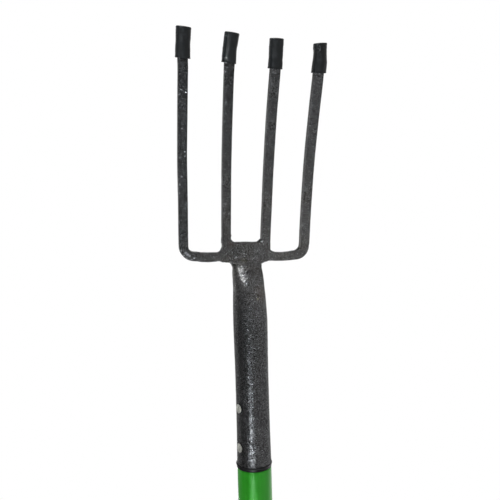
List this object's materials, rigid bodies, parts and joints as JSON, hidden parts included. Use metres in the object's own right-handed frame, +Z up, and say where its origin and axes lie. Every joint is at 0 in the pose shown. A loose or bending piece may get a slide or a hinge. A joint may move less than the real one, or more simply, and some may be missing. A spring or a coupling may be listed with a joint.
{
  "type": "border fork",
  "caption": "Light garden fork with square tines on a riveted socket, a green sleeved shaft, a D-shaped grip, and push-on tip caps.",
  "frame": {"origin": "on the shaft's axis, level with the underside of the crown's two arms, where a rack's pegs hold the fork", "axes": "+Z up along the shaft towards the tines' tips, the front of the fork faces -Y, +X is to the right as the front is seen"},
  "size_m": [0.1483, 0.0746, 0.9623],
  "materials": {
    "hammered_grey_paint": "dark grey hammered paint, semi-gloss",
    "black_vinyl": "soft black dipped vinyl, satin",
    "black_collar": "black moulded plastic, semi-gloss",
    "rivet_metal": "pale grey hammered rivet heads",
    "tube_steel": "bare welded tube",
    "green_sleeve": "glossy green PVC sleeve",
    "grip_plastic": "black moulded plastic",
    "grip_rubber": "soft black overmould, matt"
  },
  "bodies": {
    "fork": {"head_socket": "hammered_grey_paint", "tine_outer_left": "hammered_grey_paint", "tine_inner_left": "hammered_grey_paint", "tine_inner_right": "hammered_grey_paint", "tine_outer_right": "hammered_grey_paint", "weld_outer_left": "hammered_grey_paint", "weld_outer_right": "hammered_grey_paint", "weld_inner_left": "hammered_grey_paint", "weld_inner_right": "hammered_grey_paint", "socket_collar": "black_collar", "socket_rivet_upper": "rivet_metal", "socket_rivet_lower": "rivet_metal", "grip_rivet": "rivet_metal", "shaft_tube": "tube_steel", "shaft_sleeve": "green_sleeve", "grip_body": "grip_plastic", "grip_cushion": "grip_rubber"},
    "cap_outer_left": {"tip_cap_outer_left": "black_vinyl"},
    "cap_inner_left": {"tip_cap_inner_left": "black_vinyl"},
    "cap_inner_right": {"tip_cap_inner_right": "black_vinyl"},
    "cap_outer_right": {"tip_cap_outer_right": "black_vinyl"}
  },
  "joints": [
    {"name": "cap_outer_left_slide", "type": "slide", "parent": "fork", "child": "cap_outer_left", "axis": [-0.0118, -0.3865, 0.9222], "range_m": [0, 0.03]},
    {"name": "cap_inner_left_slide", "type": "slide", "parent": "fork", "child": "cap_inner_left", "axis": [-0.01, -0.3845, 0.9231], "range_m": [0, 0.03]},
    {"name": "cap_inner_right_slide", "type": "slide", "parent": "fork", "child": "cap_inner_right", "axis": [0.0086, -0.3814, 0.9244], "range_m": [0, 0.03]},
    {"name": "cap_outer_right_slide", "type": "slide", "parent": "fork", "child": "cap_outer_right", "axis": [0.0141, -0.3798, 0.925], "range_m": [0, 0.03]}
  ]
}
